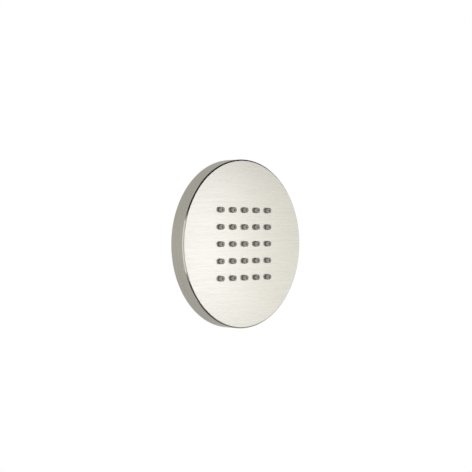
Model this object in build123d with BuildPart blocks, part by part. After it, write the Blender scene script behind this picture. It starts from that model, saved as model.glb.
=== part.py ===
from build123d import *
import os
from math import acos, cos, hypot, radians, sin, sqrt

# A flat round shower body jet: a brushed disc with a square field of soft nozzles, carried on a swivel ball
# whose stem screws onto a pipe in the wall.
# Frame: the origin is the middle of the inlet's mouth, the face looks along -Y and +Z is up.
# A station is a distance forward of the mouth, along -Y. Sizes are in millimetres and degrees.

# Disc
FACE_DIAMETER = 100.0
DISC_DEPTH = 10.0
FACE_WALL = 1.5
SIDE_WALL = 1.5
FRONT_EDGE_RADIUS = 0.7
REAR_EDGE_CHAMFER = 0.3

# Nozzle field and its silicone mat
NOZZLES_PER_SIDE = 5
NOZZLE_PITCH = 10.0
NOZZLE_ROOT_DIAMETER = 3.5
NOZZLE_REACH = 2.0
NOZZLE_DRAFT = 7.0
NOZZLE_WALL = 0.6
NOZZLE_TIP_WALL = 0.9
ORIFICE_DIAMETER = 1.1
MAT_THICKNESS = 1.2
MAT_MARGIN = 3.2
MAT_CORNER_RADIUS = 4.0

# Jet plate behind the mat, and the gasket on its rim
JET_FLOOR = 1.8
JET_RIM_WIDTH = 3.4
JET_SLOT_MARGIN = 0.9
GASKET_WIDTH = 1.6
GASKET_DEPTH = 1.2

# Back plate and its screws
BACK_PLATE_THICKNESS = 2.4
BACK_RECESS = 0.4
SCREW_COUNT = 6
SCREW_DIAMETER = 3.0
SCREW_HEAD_DIAMETER = 5.6
SCREW_GRIP = 3.2
SCREW_SOCKET_FLATS = 2.0
SCREW_SOCKET_DEPTH = 1.0
SCREW_EDGE_MARGIN = 1.2
SCREW_END_ROOM = 0.5
BOSS_WALL = 1.5
COUNTERSINK_ANGLE = 90.0

# Swivel ball, its two floating seats and the collar nut
BALL_DIAMETER = 19.0
BALL_FRONT_LIP = 0.6
BALL_FRONT_ROOM = 1.0
TILT_RANGE = 12.0
TILT_ROOM = 0.6
SEAT_THICKNESS = 1.7
SEAL_NEAR_LATITUDE = 14.0
SEAL_FAR_LATITUDE = 40.0
RING_NEAR_LATITUDE = 6.0
RING_FAR_LATITUDE = 30.0
RING_SLIT = 1.6
NECK_WALL = 1.6
NECK_OVERRUN = 1.0
NECK_FILLET = 0.6
NUT_WALL = 2.2
NUT_LIP = 1.5
NUT_SHOULDER_ROOM = 0.5
NUT_END_ROOM = 0.8
NUT_EDGE_CHAMFER = 0.6
NUT_FLUTES = 12
NUT_FLUTE_RADIUS = 2.5
NUT_FLUTE_DEPTH = 0.5

# Stem and inlet: a half-inch pipe thread, drawn at its full diameter
STEM_DIAMETER = 12.0
WATERWAY_DIAMETER = 8.0
HEX_ACROSS_FLATS = 26.0
HEX_EDGE_CHAMFER = 1.1
HEX_SHOULDER = 2.0
INLET_THREAD_DIAMETER = 20.96
INLET_THREAD_DEPTH = 10.0

# Filter washer and flow regulator in the inlet
WASHER_DIAMETER = 18.4
WASHER_BORE = 12.0
WASHER_THICKNESS = 2.0
SCREEN_THICKNESS = 0.4
SCREEN_HOLD = 0.9
SCREEN_PITCH = 1.6
SCREEN_GAP = 1.2
REGULATOR_DIAMETER = 12.8
REGULATOR_LENGTH = 2.5
REGULATOR_PAST_HEX = 1.0
REGULATOR_FLOOR = 1.0
REGULATOR_CORE_DIAMETER = 4.4
REGULATOR_RIM = 1.1
REGULATOR_HOLES = 8
REGULATOR_HOLE_DIAMETER = 1.3
REGULATOR_RING_SECTION = 1.2

# Clearances
FIT_GAP = 0.1
SEAT_GAP = 0.08
MOUTH_GAP = 0.15

# Radii of the ball joint, from the ball outwards
ball_radius = BALL_DIAMETER / 2
seat_inner = ball_radius + SEAT_GAP
seat_outer = seat_inner + SEAT_THICKNESS
cavity_radius = seat_outer + SEAT_GAP
neck_radius = cavity_radius + NECK_WALL
nut_bore = neck_radius + FIT_GAP
nut_radius = nut_bore + NUT_WALL
mouth_radius = ball_radius + MOUTH_GAP
stem_radius = STEM_DIAMETER / 2
waterway_radius = WATERWAY_DIAMETER / 2

# The hexagon and its cone stand clear of the tilted nut, so the steepest tilt places them behind the ball
steepest_tilt = acos(cos(radians(TILT_RANGE)) ** 2)
mouth_behind_ball = sqrt(cavity_radius**2 - mouth_radius**2)
nut_behind_ball = mouth_behind_ball + NUT_LIP
stem_reach = nut_behind_ball * cos(steepest_tilt) + nut_radius * sin(steepest_tilt) + TILT_ROOM
cone_length = (nut_radius - mouth_radius) * sin(steepest_tilt) + TILT_ROOM

# Stations, from the inlet's mouth forward to the nozzle tips
washer_front = INLET_THREAD_DEPTH + WASHER_THICKNESS
regulator_front = washer_front + REGULATOR_LENGTH
hex_front = regulator_front - REGULATOR_PAST_HEX
ball_middle = hex_front + stem_reach
nut_rear = ball_middle - nut_behind_ball
neck_rear = ball_middle - NECK_OVERRUN
nut_shoulder = neck_rear - NUT_SHOULDER_ROOM
jet_floor_rear = ball_middle + ball_radius + BALL_FRONT_ROOM
jet_floor_front = jet_floor_rear + JET_FLOOR
face_inside = jet_floor_front + MAT_THICKNESS
face_front = face_inside + FACE_WALL
nozzle_tip = face_front + NOZZLE_REACH
disc_rear = face_front - DISC_DEPTH
back_rear = disc_rear + BACK_RECESS
back_front = back_rear + BACK_PLATE_THICKNESS
nut_front = back_rear - NUT_END_ROOM

# Sizes across the disc
face_radius = FACE_DIAMETER / 2
cup_radius = face_radius - SIDE_WALL
plate_radius = cup_radius - FIT_GAP
screw_radius = SCREW_DIAMETER / 2
screw_head_radius = SCREW_HEAD_DIAMETER / 2
screw_circle = plate_radius - screw_head_radius - SCREW_EDGE_MARGIN
screw_tip = back_front + SCREW_GRIP
boss_radius = screw_radius + BOSS_WALL
nozzle_span = NOZZLE_PITCH * (NOZZLES_PER_SIDE - 1)
mat_side = nozzle_span + 2 * MAT_MARGIN
recess_side = mat_side + 2 * FIT_GAP
recess_corner = MAT_CORNER_RADIUS + FIT_GAP
jet_side = recess_side + 2 * JET_RIM_WIDTH
jet_corner = recess_corner + JET_RIM_WIDTH
gasket_side = recess_side + JET_RIM_WIDTH + GASKET_WIDTH
gasket_corner = recess_corner + (JET_RIM_WIDTH + GASKET_WIDTH) / 2
nozzle_bore = NOZZLE_ROOT_DIAMETER - 2 * NOZZLE_WALL
jet_slot_width = nozzle_bore + 2 * JET_SLOT_MARGIN

# Sizes across the inlet
hex_corner_radius = HEX_ACROSS_FLATS / sqrt(3)
thread_radius = INLET_THREAD_DIAMETER / 2
washer_radius = WASHER_DIAMETER / 2
screen_seat_radius = WASHER_BORE / 2 + SCREEN_HOLD
screen_rear = INLET_THREAD_DEPTH + (WASHER_THICKNESS - SCREEN_THICKNESS) / 2
regulator_radius = REGULATOR_DIAMETER / 2
regulator_core = REGULATOR_CORE_DIAMETER / 2
regulator_well = regulator_radius - REGULATOR_RIM
regulator_circle = (regulator_core + regulator_well) / 2
ring_station = regulator_front - REGULATOR_FLOOR - FIT_GAP - REGULATOR_RING_SECTION / 2

# The profile plane holds (radius, station) points, and turned pieces are revolved about the jet's axis
PROFILE = Plane(origin=(0, 0, 0), x_dir=(1, 0, 0), z_dir=(0, 0, -1))


def across(station):
    """The plane square to the axis at a station, seen from the front, with extrusions running forward."""
    return Plane.XZ.offset(station)


def nozzle_places():
    """The square field of nozzle centres."""
    return GridLocations(NOZZLE_PITCH, NOZZLE_PITCH, NOZZLES_PER_SIDE, NOZZLES_PER_SIDE)


def screw_places():
    """The ring of screw centres."""
    return PolarLocations(screw_circle, SCREW_COUNT)


def seat_section(from_latitude, to_latitude):
    """Section of a seat between the ball and its cavity, with latitudes counted forward from the equator."""
    middle = (0, ball_middle)
    sweep = to_latitude - from_latitude
    with BuildSketch(PROFILE) as section:
        with BuildLine():
            inside = CenterArc(middle, seat_inner, from_latitude, sweep)
            outside = CenterArc(middle, seat_outer, from_latitude, sweep)
            Line(inside @ 0, outside @ 0)
            Line(inside @ 1, outside @ 1)
        make_face()
    return section.sketch


def screen_places():
    """The strainer's gaps: a square grid, kept to those inside the washer's bore."""
    steps = int(WASHER_BORE / 2 / SCREEN_PITCH)
    limit = WASHER_BORE / 2 - SCREEN_GAP / 2
    grid = [n * SCREEN_PITCH for n in range(-steps, steps + 1)]
    return Locations([(x, y) for x in grid for y in grid if hypot(x, y) < limit])


# Face cover: a turned cup with a softened front edge, nozzle holes and bosses for the back screws
with BuildPart() as face_cover:
    with BuildSketch(across(disc_rear)):
        Circle(face_radius)
    extrude(amount=DISC_DEPTH)
    fillet(face_cover.edges().sort_by(Axis.Y)[0], radius=FRONT_EDGE_RADIUS)
    chamfer(face_cover.edges().sort_by(Axis.Y)[-1], length=REAR_EDGE_CHAMFER)
    with BuildSketch(across(disc_rear)):
        Circle(cup_radius)
    extrude(amount=DISC_DEPTH - FACE_WALL, mode=Mode.SUBTRACT)
    with BuildSketch(across(back_front)):
        with screw_places():
            Circle(boss_radius)
    extrude(amount=face_inside - back_front)
    with BuildSketch(across(back_front)):
        with screw_places():
            Circle(screw_radius + FIT_GAP)
    extrude(amount=SCREW_GRIP + SCREW_END_ROOM, mode=Mode.SUBTRACT)
    with BuildSketch(across(face_inside)):
        with nozzle_places():
            Circle(NOZZLE_ROOT_DIAMETER / 2 + FIT_GAP)
    extrude(amount=FACE_WALL, mode=Mode.SUBTRACT)
face_cover.part.label = "face_cover"

# Nozzle mat: one silicone moulding, a sheet with hollow drafted nozzles that stand out through the face
with BuildPart() as nozzle_mat:
    with BuildSketch(across(jet_floor_front)):
        RectangleRounded(mat_side, mat_side, MAT_CORNER_RADIUS)
    extrude(amount=MAT_THICKNESS)
    with BuildSketch(across(face_inside)):
        with nozzle_places():
            Circle(NOZZLE_ROOT_DIAMETER / 2)
    extrude(amount=FACE_WALL)
    with BuildSketch(across(face_front)):
        with nozzle_places():
            Circle(NOZZLE_ROOT_DIAMETER / 2)
    extrude(amount=NOZZLE_REACH, taper=NOZZLE_DRAFT)
    with BuildSketch(across(jet_floor_front)):
        with nozzle_places():
            Circle(nozzle_bore / 2)
    extrude(amount=nozzle_tip - NOZZLE_TIP_WALL - jet_floor_front, mode=Mode.SUBTRACT)
    with BuildSketch(across(jet_floor_front)):
        with nozzle_places():
            Circle(ORIFICE_DIAMETER / 2)
    extrude(amount=nozzle_tip - jet_floor_front, mode=Mode.SUBTRACT)
nozzle_mat.part.label = "nozzle_mat"

# Jet plate: a shallow tray whose bars hold the mat to the face, with a slot behind each column of nozzles
with BuildPart() as jet_plate:
    with BuildSketch(across(back_front)):
        RectangleRounded(jet_side, jet_side, jet_corner)
    extrude(amount=face_inside - back_front)
    with BuildSketch(across(jet_floor_front)):
        RectangleRounded(recess_side, recess_side, recess_corner)
    extrude(amount=MAT_THICKNESS, mode=Mode.SUBTRACT)
    with BuildSketch(across(back_front)):
        RectangleRounded(recess_side, recess_side, recess_corner)
    extrude(amount=jet_floor_rear - back_front, mode=Mode.SUBTRACT)
    with BuildSketch(across(jet_floor_rear)):
        with GridLocations(NOZZLE_PITCH, 0, NOZZLES_PER_SIDE, 1):
            SlotCenterToCenter(nozzle_span, jet_slot_width, rotation=90)
    extrude(amount=JET_FLOOR, mode=Mode.SUBTRACT)
    with BuildSketch(across(back_front)):
        RectangleRounded(gasket_side, gasket_side, gasket_corner)
        offset(amount=-GASKET_WIDTH, mode=Mode.SUBTRACT)
    extrude(amount=GASKET_DEPTH, mode=Mode.SUBTRACT)
jet_plate.part.label = "jet_plate"

# Chamber gasket: fills its groove between the jet plate and the back plate
with BuildPart() as chamber_gasket:
    with BuildSketch(across(back_front)):
        RectangleRounded(gasket_side, gasket_side, gasket_corner)
        offset(amount=-GASKET_WIDTH, mode=Mode.SUBTRACT)
    extrude(amount=GASKET_DEPTH)
chamber_gasket.part.label = "chamber_gasket"

# Back plate: a turned disc that closes the cup, with a neck that opens into the ball's cavity
with BuildPart() as back_plate:
    with BuildSketch(across(back_rear)):
        Circle(plate_radius)
    extrude(amount=BACK_PLATE_THICKNESS)
    with BuildSketch(across(neck_rear)):
        Circle(neck_radius)
    extrude(amount=back_rear - neck_rear)
    neck_edges = back_plate.edges().filter_by(GeomType.CIRCLE).sort_by(SortBy.RADIUS)[:2]
    fillet(neck_edges.sort_by(Axis.Y)[0], radius=NECK_FILLET)
    with BuildSketch(PROFILE):
        with BuildLine():
            wall = Line((cavity_radius, neck_rear), (cavity_radius, ball_middle))
            opening = sqrt(cavity_radius**2 - (back_front - ball_middle) ** 2)
            seat = RadiusArc(wall @ 1, (opening, back_front), -cavity_radius)
            Polyline(seat @ 1, (0, back_front), (0, neck_rear), wall @ 0)
        make_face()
    revolve(axis=Axis.Y, mode=Mode.SUBTRACT)
    with Locations(Plane(origin=(0, -back_rear, 0), x_dir=(1, 0, 0), z_dir=(0, 1, 0))):
        with screw_places():
            CounterSinkHole(
                radius=screw_radius + FIT_GAP,
                counter_sink_radius=screw_head_radius + FIT_GAP,
                depth=BACK_PLATE_THICKNESS,
                counter_sink_angle=COUNTERSINK_ANGLE,
            )
back_plate.part.label = "back_plate"

# Back screws: a ring of countersunk socket screws, flush with the back plate
with BuildPart() as back_screws:
    with BuildSketch(across(back_rear)):
        with screw_places():
            Circle(screw_head_radius)
    extrude(amount=screw_head_radius - screw_radius, taper=COUNTERSINK_ANGLE / 2)
    with BuildSketch(across(back_rear)):
        with screw_places():
            Circle(screw_radius)
    extrude(amount=screw_tip - back_rear)
    with BuildSketch(across(back_rear)):
        with screw_places():
            RegularPolygon(SCREW_SOCKET_FLATS / 2, 6, major_radius=False)
    extrude(amount=SCREW_SOCKET_DEPTH, mode=Mode.SUBTRACT)
back_screws.part.label = "back_screws"

# Collar nut: runs on the neck, and its round seat holds the friction ring against the ball
with BuildPart() as collar_nut:
    with BuildSketch(PROFILE):
        with BuildLine():
            bore = Line((nut_bore, nut_front), (nut_bore, nut_shoulder))
            seat_start = sqrt(cavity_radius**2 - (ball_middle - nut_shoulder) ** 2)
            shoulder = Line(bore @ 1, (seat_start, nut_shoulder))
            seat = RadiusArc(shoulder @ 1, (mouth_radius, ball_middle - mouth_behind_ball), cavity_radius)
            Polyline(
                seat @ 1,
                (mouth_radius, nut_rear),
                (nut_radius, nut_rear),
                (nut_radius, nut_front),
                bore @ 0,
            )
        make_face()
    revolve(axis=Axis.Y)
    rim_edges = collar_nut.edges().filter_by(GeomType.CIRCLE).sort_by(SortBy.RADIUS)[-2:]
    chamfer(rim_edges, length=NUT_EDGE_CHAMFER)
    with BuildSketch(across(nut_rear)):
        with PolarLocations(nut_radius + NUT_FLUTE_RADIUS - NUT_FLUTE_DEPTH, NUT_FLUTES):
            Circle(NUT_FLUTE_RADIUS)
    extrude(amount=nut_front - nut_rear, mode=Mode.SUBTRACT)
collar_nut.part.label = "collar_nut"

# Ball seal: the soft seat in front of the ball
with BuildPart() as ball_seal:
    revolve(seat_section(SEAL_NEAR_LATITUDE, SEAL_FAR_LATITUDE), axis=Axis.Y)
ball_seal.part.label = "ball_seal"

# Friction ring: the seat behind the ball, slit so that it springs over it
with BuildPart() as friction_ring:
    revolve(seat_section(-RING_FAR_LATITUDE, -RING_NEAR_LATITUDE), axis=Axis.Y)
    with BuildSketch(across(ball_middle - seat_outer)):
        Rectangle(RING_SLIT, seat_outer, align=(Align.CENTER, Align.MIN))
    extrude(amount=seat_outer, mode=Mode.SUBTRACT)
friction_ring.part.label = "friction_ring"

# Swivel ball: hexagon, stem and ball in one turning, bored right through in steps
with BuildPart() as swivel_ball:
    with BuildSketch(across(0)):
        RegularPolygon(HEX_ACROSS_FLATS / 2, 6, major_radius=False)
    extrude(amount=hex_front)
    with BuildSketch(PROFILE):
        Polygon(
            (0, 0),
            (HEX_ACROSS_FLATS / 2, 0),
            (hex_corner_radius, HEX_EDGE_CHAMFER),
            (hex_corner_radius, hex_front - HEX_EDGE_CHAMFER),
            (HEX_ACROSS_FLATS / 2, hex_front),
            (0, hex_front),
            align=None,
        )
    revolve(axis=Axis.Y, mode=Mode.INTERSECT)
    with BuildSketch(PROFILE):
        with BuildLine():
            lip_radius = waterway_radius + BALL_FRONT_LIP
            ball_front = ball_middle + sqrt(ball_radius**2 - lip_radius**2)
            stem_end = ball_middle - sqrt(ball_radius**2 - stem_radius**2)
            stem = Polyline(
                (0, ball_front),
                (0, hex_front),
                (HEX_ACROSS_FLATS / 2 - HEX_SHOULDER, hex_front),
                (stem_radius, hex_front + cone_length),
                (stem_radius, stem_end),
            )
            ball = ThreePointArc(stem @ 1, (ball_radius, ball_middle), (lip_radius, ball_front))
            Line(ball @ 1, stem @ 0)
        make_face()
    revolve(axis=Axis.Y)
    with BuildSketch(across(0)):
        Circle(thread_radius)
    extrude(amount=INLET_THREAD_DEPTH, mode=Mode.SUBTRACT)
    with BuildSketch(across(INLET_THREAD_DEPTH)):
        Circle(washer_radius + FIT_GAP)
    extrude(amount=WASHER_THICKNESS, mode=Mode.SUBTRACT)
    with BuildSketch(across(washer_front)):
        Circle(regulator_radius + FIT_GAP)
    extrude(amount=REGULATOR_LENGTH, mode=Mode.SUBTRACT)
    with BuildSketch(across(regulator_front)):
        Circle(waterway_radius)
    extrude(amount=ball_front - regulator_front, mode=Mode.SUBTRACT)
swivel_ball.part.label = "swivel_ball"

# Filter washer: seals against the pipe's end and holds the strainer in a groove
with BuildPart() as filter_washer:
    with BuildSketch(across(INLET_THREAD_DEPTH)):
        Circle(washer_radius)
        Circle(WASHER_BORE / 2, mode=Mode.SUBTRACT)
    extrude(amount=WASHER_THICKNESS)
    with BuildSketch(across(screen_rear)):
        Circle(screen_seat_radius)
    extrude(amount=SCREEN_THICKNESS, mode=Mode.SUBTRACT)
filter_washer.part.label = "filter_washer"

# Filter screen: a thin perforated disc
with BuildPart() as filter_screen:
    with BuildSketch(across(screen_rear)):
        Circle(screen_seat_radius - FIT_GAP)
        with screen_places():
            Rectangle(SCREEN_GAP, SCREEN_GAP, mode=Mode.SUBTRACT)
    extrude(amount=SCREEN_THICKNESS)
filter_screen.part.label = "filter_screen"

# Flow regulator: a cup with a core, whose ring of holes lies under a flexing ring
with BuildPart() as flow_regulator:
    with BuildSketch(across(washer_front)):
        Circle(regulator_radius)
    extrude(amount=REGULATOR_LENGTH)
    with BuildSketch(across(washer_front)):
        Circle(regulator_well)
        Circle(regulator_core, mode=Mode.SUBTRACT)
    extrude(amount=REGULATOR_LENGTH - REGULATOR_FLOOR, mode=Mode.SUBTRACT)
    with BuildSketch(across(washer_front)):
        with PolarLocations(regulator_circle, REGULATOR_HOLES):
            Circle(REGULATOR_HOLE_DIAMETER / 2)
    extrude(amount=REGULATOR_LENGTH, mode=Mode.SUBTRACT)
flow_regulator.part.label = "flow_regulator"

# Regulator ring: a round-section ring in the regulator's well
with BuildPart() as regulator_ring:
    with BuildSketch(PROFILE):
        with Locations((regulator_circle, ring_station)):
            Circle(REGULATOR_RING_SECTION / 2)
    revolve(axis=Axis.Y)
regulator_ring.part.label = "regulator_ring"

pieces = (
    face_cover,
    nozzle_mat,
    jet_plate,
    chamber_gasket,
    back_plate,
    back_screws,
    collar_nut,
    ball_seal,
    friction_ring,
    swivel_ball,
    filter_washer,
    filter_screen,
    flow_regulator,
    regulator_ring,
)
os.makedirs("parts", exist_ok=True)
for piece in pieces:
    export_step(piece.part, f"parts/{piece.part.label}.step")
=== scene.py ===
"""The looks of a flat round shower body jet.

A brushed nickel disc carries a square field of soft grey nozzles and swivels on a ball behind it. Lengths
are in metres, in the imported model's frame: the origin is the middle of the inlet's mouth, the face looks
along -Y and +Z is up. A station is a distance forward of the mouth, along -Y. Angles that are kept as sizes
are in degrees.
"""

import logging
import math
from abc import ABC, abstractmethod
from collections.abc import Mapping, Sequence
from dataclasses import dataclass
from enum import Enum, IntEnum
from typing import ClassVar

import bmesh
import bpy
from mathutils import Matrix, Vector

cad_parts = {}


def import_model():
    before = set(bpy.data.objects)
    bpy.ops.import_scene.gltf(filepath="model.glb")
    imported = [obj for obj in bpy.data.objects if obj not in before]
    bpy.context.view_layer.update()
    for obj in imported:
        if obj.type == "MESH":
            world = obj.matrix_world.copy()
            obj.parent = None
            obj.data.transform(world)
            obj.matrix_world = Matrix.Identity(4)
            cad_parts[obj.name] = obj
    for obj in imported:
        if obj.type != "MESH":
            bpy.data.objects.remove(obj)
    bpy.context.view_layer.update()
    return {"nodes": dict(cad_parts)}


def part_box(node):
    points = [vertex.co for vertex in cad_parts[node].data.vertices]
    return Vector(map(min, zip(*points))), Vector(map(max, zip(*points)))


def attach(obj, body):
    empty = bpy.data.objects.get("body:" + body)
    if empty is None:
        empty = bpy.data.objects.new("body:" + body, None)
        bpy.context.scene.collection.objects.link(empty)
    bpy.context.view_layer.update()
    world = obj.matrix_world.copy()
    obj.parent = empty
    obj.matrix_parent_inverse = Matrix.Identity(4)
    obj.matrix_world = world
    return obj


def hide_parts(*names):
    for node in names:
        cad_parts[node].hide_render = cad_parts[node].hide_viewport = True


LOG = logging.getLogger("body_jet")

# Types
Colour = tuple[float, float, float]
Span = tuple[float, float]
Setting = bool | int | float | str
Socket = bpy.types.NodeSocket
Value = Socket | list[Socket] | bpy.types.ID | Sequence[float] | float | int

# Lengths in metres, and turns in radians
MM = 0.001
QUARTER_TURN = math.pi / 2.0
WELD = 0.002 * MM

# Angles of a rounded corner, in degrees
STRAIGHT_OUT = 0.0
STRAIGHT_FORWARD = 90.0

# Plain colours
BLACK = (0.0, 0.0, 0.0, 1.0)
WHITE = (1.0, 1.0, 1.0, 1.0)

# Noise: its roughness, the stretch that most of it lies in, and its middle
NOISE_ROUGHNESS = 0.55
NOISE_STRETCH = (0.3, 0.7)
NOISE_MIDDLE = 0.5

# How fast tool lines follow one another along the jet's axis, next to across it
AXIAL_LINE_SHARE = 1.4


class Slot(Enum):
    """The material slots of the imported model."""

    BRUSHED_NICKEL = "brushed_nickel"
    SATIN_NICKEL = "satin_nickel"
    BRIGHT_NICKEL = "bright_nickel"
    STAINLESS = "stainless"
    GREY_SILICONE = "grey_silicone"
    BLACK_RUBBER = "black_rubber"
    WHITE_ACETAL = "white_acetal"
    GREEN_PLASTIC = "green_plastic"


class Body(Enum):
    """The moving bodies that get new pieces."""

    INLET = "inlet"
    HEAD = "head"


class Lay(Enum):
    """Which way the fine lines of a metal surface run."""

    STRAIGHT = "straight across the face"
    TURNED = "round the jet's axis"


class ThreadSide(Enum):
    """Which way a screw thread's ridge stands out from its wall: 1 is away from the axis."""

    OUTSIDE = 1.0
    INSIDE = -1.0


class InputKind(Enum):
    """The kinds of named input that a pattern tree takes."""

    COUNT = "NodeSocketInt"
    NUMBER = "NodeSocketFloat"
    OBJECT = "NodeSocketObject"
    MATERIAL = "NodeSocketMaterial"


class MixInput(IntEnum):
    """The places of a mix node's inputs, whose names repeat."""

    FACTOR = 0
    FIRST_NUMBER = 2
    SECOND_NUMBER = 3
    FIRST_COLOUR = 6
    SECOND_COLOUR = 7


class MixOutput(IntEnum):
    """The places of a mix node's outputs, whose names repeat."""

    NUMBER = 0
    COLOUR = 2


class RandomInput(IntEnum):
    """The places of a random number's limits, whose names repeat."""

    LEAST = 2
    GREATEST = 3


# Node trees


class NodeGraph:
    """Adds nodes to a tree and joins them."""

    def __init__(self, tree: bpy.types.NodeTree) -> None:
        """Keeps the tree that nodes are added to."""
        self.tree = tree

    def add(
        self,
        kind: str,
        values: Mapping[str | int, Value] | None = None,
        **settings: Setting,
    ) -> bpy.types.Node:
        """Adds one node.

        Args:
            kind: Blender's name for the node.
            values: What goes into its inputs, by name or place: a socket, or a list of sockets, is
                linked, and anything else is set.
            settings: The node's own properties.

        Returns:
            The new node.
        """
        node = self.tree.nodes.new(kind)
        for name, setting in settings.items():
            setattr(node, name, setting)
        for key, value in (values or {}).items():
            sources = value if isinstance(value, list) else [value]
            if isinstance(sources[0], bpy.types.NodeSocket):
                for source in sources:
                    self.tree.links.new(source, node.inputs[key])
            else:
                node.inputs[key].default_value = value
        return node

    def math(self, operation: str, first: Value, second: Value = 0.0) -> Socket:
        """Adds a math step.

        Args:
            operation: Blender's name for the step.
            first: The first number.
            second: The second number, where the step has one.

        Returns:
            The step's result.
        """
        return self.add("ShaderNodeMath", {0: first, 1: second}, operation=operation).outputs[0]

    def vector(self, x: Value = 0.0, y: Value = 0.0, z: Value = 0.0) -> Socket:
        """Joins three numbers into a vector."""
        return self.add("ShaderNodeCombineXYZ", {"X": x, "Y": y, "Z": z}).outputs[0]

    def length(self, vector: Socket) -> Socket:
        """The length of a vector."""
        return self.add("ShaderNodeVectorMath", {0: vector}, operation="LENGTH").outputs["Value"]

    def span(self, source: Socket, low: Span, high: Span, smooth: bool = False) -> Socket:
        """Maps one span of numbers to another, held at both ends.

        Args:
            source: The number to map.
            low: What the span starts from and becomes.
            high: What the span ends at and becomes.
            smooth: Whether it eases in and out.

        Returns:
            The mapped number.
        """
        values = {
            "Value": source,
            "From Min": low[0],
            "To Min": low[1],
            "From Max": high[0],
            "To Max": high[1],
        }
        kind = "SMOOTHSTEP" if smooth else "LINEAR"
        return self.add("ShaderNodeMapRange", values, interpolation_type=kind).outputs["Result"]


class SurfaceGraph(NodeGraph):
    """The node tree of one material: a principled surface fed by patterns in Object coordinates."""

    def __init__(self, name: str, metallic: float) -> None:
        """Starts a material.

        Args:
            name: The material's name.
            metallic: 1 for bare metal and 0 for anything else.
        """
        self.material = bpy.data.materials.new(name)
        self.material.use_nodes = True
        super().__init__(self.material.node_tree)
        self.tree.nodes.clear()
        output = self.add("ShaderNodeOutputMaterial")
        self.surface = self.add("ShaderNodeBsdfPrincipled", {"Metallic": metallic})
        self.tree.links.new(self.surface.outputs[0], output.inputs["Surface"])
        self.place = self.add("ShaderNodeTexCoord").outputs["Object"]
        self.axes = self.add("ShaderNodeSeparateXYZ", {0: self.place}).outputs

    def feed(self, name: str, source: Socket) -> None:
        """Links a pattern to one of the surface's inputs."""
        self.tree.links.new(source, self.surface.inputs[name])

    def set(self, name: str, value: float) -> None:
        """Sets one of the surface's inputs to a constant."""
        self.surface.inputs[name].default_value = value

    def reach(self) -> Socket:
        """The distance from the jet's axis."""
        return self.length(self.vector(self.axes["X"], self.axes["Z"]))

    def noise(self, vector: Socket, size: float = 1.0, detail: float = 2.0) -> Socket:
        """Soft noise from 0 to 1.

        Args:
            vector: Where the noise is read.
            size: The size of a patch.
            detail: How many finer layers are added.

        Returns:
            The noise.
        """
        values = {"Vector": vector, "Scale": 1.0 / size, "Detail": detail, "Roughness": NOISE_ROUGHNESS}
        return self.add("ShaderNodeTexNoise", values).outputs["Fac"]

    def lines(self, lay: Lay, width: float, length: float) -> Socket:
        """Fine lines left by a brush or a tool.

        Args:
            lay: Which way the lines run.
            width: How wide a line is.
            length: How long it is.

        Returns:
            The lines, from 0 to 1.
        """
        x, y, z = self.axes
        if lay is Lay.STRAIGHT:
            profile, along = z, (x, y)
        else:
            axial = self.math("MULTIPLY", y, AXIAL_LINE_SHARE)
            profile, along = self.math("ADD", self.reach(), axial), (x, z)
        steps = [self.math("DIVIDE", axis, length) for axis in along]
        return self.noise(self.vector(self.math("DIVIDE", profile, width), *steps))

    def spread(self, noise: Socket, to: Span = (0.0, 1.0), stretch: Span = NOISE_STRETCH) -> Socket:
        """Spreads the stretch that a noise lies in over a span of numbers."""
        return self.span(noise, (stretch[0], to[0]), (stretch[1], to[1]))

    def pick(self, factor: Socket, first: Value, second: Value) -> Socket:
        """Blends between two numbers, the first at 0 and the second at 1."""
        values = {MixInput.FACTOR: factor, MixInput.FIRST_NUMBER: first, MixInput.SECOND_NUMBER: second}
        return self.add("ShaderNodeMix", values, data_type="FLOAT").outputs[MixOutput.NUMBER]

    def tint(self, factor: Socket, first: Value, second: Value) -> Socket:
        """Blends between two colours, the first at 0 and the second at 1."""
        values = {MixInput.FACTOR: factor, MixInput.FIRST_COLOUR: first, MixInput.SECOND_COLOUR: second}
        return self.add("ShaderNodeMix", values, data_type="RGBA").outputs[MixOutput.COLOUR]

    def paint(self, tone: Socket, colour: Colour, contrast: float, shade: Socket | None = None) -> None:
        """Colours the surface.

        Args:
            tone: 0 where it is darkest and 1 where it is lightest.
            colour: The middle colour.
            contrast: How much darker and lighter it gets, as a share.
            shade: How far painted shade darkens it towards black, from 0 to 1, where it is.
        """
        shares = (1.0 - contrast, 1.0 + contrast)
        dark, light = ((*(min(1.0, part * share) for part in colour), 1.0) for share in shares)
        toned = self.tint(tone, dark, light)
        # Any painted shade blends the toned colour towards black
        self.feed("Base Color", toned if shade is None else self.tint(shade, toned, BLACK))

    def roughen(self, noise: Socket, roughness: float, shares: Span) -> None:
        """Lets the surface's roughness follow a noise.

        Args:
            noise: The noise.
            roughness: The middle roughness.
            shares: The least and greatest roughness, as shares of it.
        """
        low, high = (share * roughness for share in shares)
        self.feed("Roughness", self.spread(noise, (low, high)))

    def lean(self, amount: float, x: Value = 0.0, y: Value = 0.0, z: Value = 0.0) -> None:
        """Stretches the highlights.

        Args:
            amount: How far, from 0 to 1.
            x: The way that the surface is roughest, along X.
            y: The same along Y.
            z: The same along Z.
        """
        self.set("Anisotropic", amount)
        values = {"Vector": self.vector(x, y, z)}
        way = self.add("ShaderNodeVectorTransform", values, convert_from="OBJECT", convert_to="WORLD")
        self.feed("Tangent", way.outputs[0])

    def bump(self, height: Socket, depth: float, strength: float) -> None:
        """Roughens the surface's normal.

        Args:
            height: The relief, from 0 to 1.
            depth: How deep the relief is.
            strength: How much of it shows.
        """
        values = {"Height": height, "Distance": depth, "Strength": strength}
        self.feed("Normal", self.add("ShaderNodeBump", values).outputs[0])


# Finishes


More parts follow.
